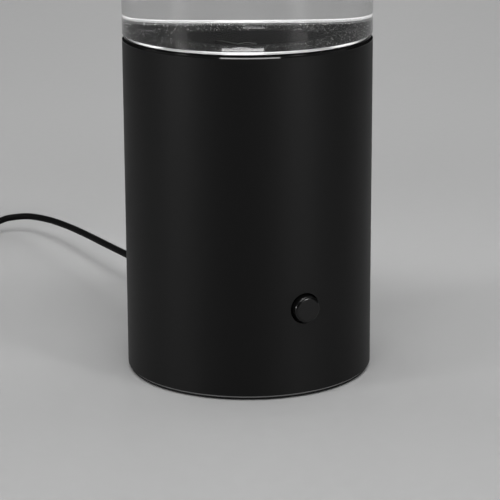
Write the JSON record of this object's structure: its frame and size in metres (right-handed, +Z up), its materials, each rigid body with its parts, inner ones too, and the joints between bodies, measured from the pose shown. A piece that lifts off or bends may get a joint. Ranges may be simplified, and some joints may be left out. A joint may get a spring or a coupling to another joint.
{
  "type": "water vortex table lamp",
  "caption": "Cylindrical table lamp whose black base stirs water in a clear lidded tube into a lit vortex, with a push button in front and a cord with a plug at the back.",
  "frame": {"origin": "centre of the round base in the plane of the rubber feet's undersides, z = 0 on the table", "axes": "+Z up along the tube's axis; -Y is the front with the button; +Y is the back where the cord leaves"},
  "size_m": [0.1577, 0.3858, 0.4204],
  "materials": {
    "casing": "satin black moulded plastic",
    "inner_black": "matt black moulded plastic",
    "floor_black": "smooth black moulded plastic",
    "impeller_black": "matt black moulded plastic",
    "smoked_lens": "smoked translucent plastic, dark when the lamp is off",
    "seal_clear": "clear sealant",
    "clear_tube": "polished clear acrylic",
    "rubber": "matt black rubber",
    "button_black": "smooth black moulded plastic",
    "cord_black": "soft black cable sheath",
    "screw_steel": "zinc-plated steel",
    "bright_steel": "bright steel",
    "dark_steel": "blackened stainless steel",
    "can_steel": "plated sheet steel",
    "magnet": "nickel-plated",
    "brass": "brass and gold flash",
    "white_plastic": "natural moulded plastic",
    "board_green": "green solder resist",
    "chip_black": "moulded package",
    "terminal_green": "green moulded plastic",
    "lamp_yellow": "phosphor dome",
    "lead_red": "red lead sheath",
    "lead_yellow": "yellow lead sheath",
    "lead_blue": "blue lead sheath"
  },
  "bodies": {
    "base": {"base_casing": "casing", "bottom_cover": "inner_black", "cover_screws": "screw_steel", "rubber_feet": "rubber", "vessel_floor": "floor_black", "floor_screws": "screw_steel", "vessel_tube": "clear_tube", "vessel_seal": "seal_clear", "impeller_pin": "dark_steel", "impeller_clip": "dark_steel", "thrust_washer": "white_plastic", "motor_can": "can_steel", "motor_end_bell": "white_plastic", "motor_terminals": "brass", "motor_bracket": "can_steel", "motor_screws": "screw_steel", "bracket_screws": "screw_steel", "led_board": "board_green", "leds": "lamp_yellow", "led_lenses": "smoked_lens", "led_screws": "screw_steel", "control_board": "board_green", "control_chips": "chip_black", "terminal_block": "terminal_green", "control_screws": "screw_steel", "button_spring": "bright_steel", "button_guide": "inner_black", "push_switch": "chip_black", "switch_board": "board_green", "switch_screws": "screw_steel", "motor_leads": "lead_red", "led_leads": "lead_yellow", "switch_leads": "lead_blue", "inner_lead": "cord_black", "strain_relief": "cord_black", "cord": "cord_black", "cord_coil": "cord_black", "cord_tie": "rubber", "cord_tail": "cord_black", "plug_body": "cord_black", "plug_shell": "bright_steel", "plug_tongue": "chip_black", "plug_contacts": "brass"},
    "button": {"button_cap": "button_black", "switch_plunger": "white_plastic"},
    "rotor": {"motor_shaft": "bright_steel", "drive_carrier": "white_plastic", "drive_magnets": "magnet"},
    "impeller": {"impeller": "impeller_black", "impeller_magnets": "magnet"},
    "lid": {"lid_cover": "casing", "lid_plug": "inner_black", "lid_seal": "rubber"}
  },
  "joints": [
    {"name": "button_press", "type": "slide", "parent": "base", "child": "button", "axis": [0, 1, 0], "range_m": [0, 0.002], "stiffness_N_per_m": 800, "springref_m": -0.001, "deforming": ["button_spring"]},
    {"name": "motor_spin", "type": "hinge", "parent": "base", "child": "rotor", "pos_m": [0, 0, 0.128], "axis": [0, 0, 1], "continuous": true},
    {"name": "impeller_spin", "type": "hinge", "parent": "base", "child": "impeller", "pos_m": [0, 0, 0.14], "axis": [0, 0, 1], "continuous": true},
    {"name": "lid_lift", "type": "slide", "parent": "base", "child": "lid", "axis": [0, 0, 1], "range_m": [0, 0.06]}
  ],
  "couplings": [
    {"joint": "impeller_spin", "follows": "motor_spin", "ratio": 1}
  ]
}
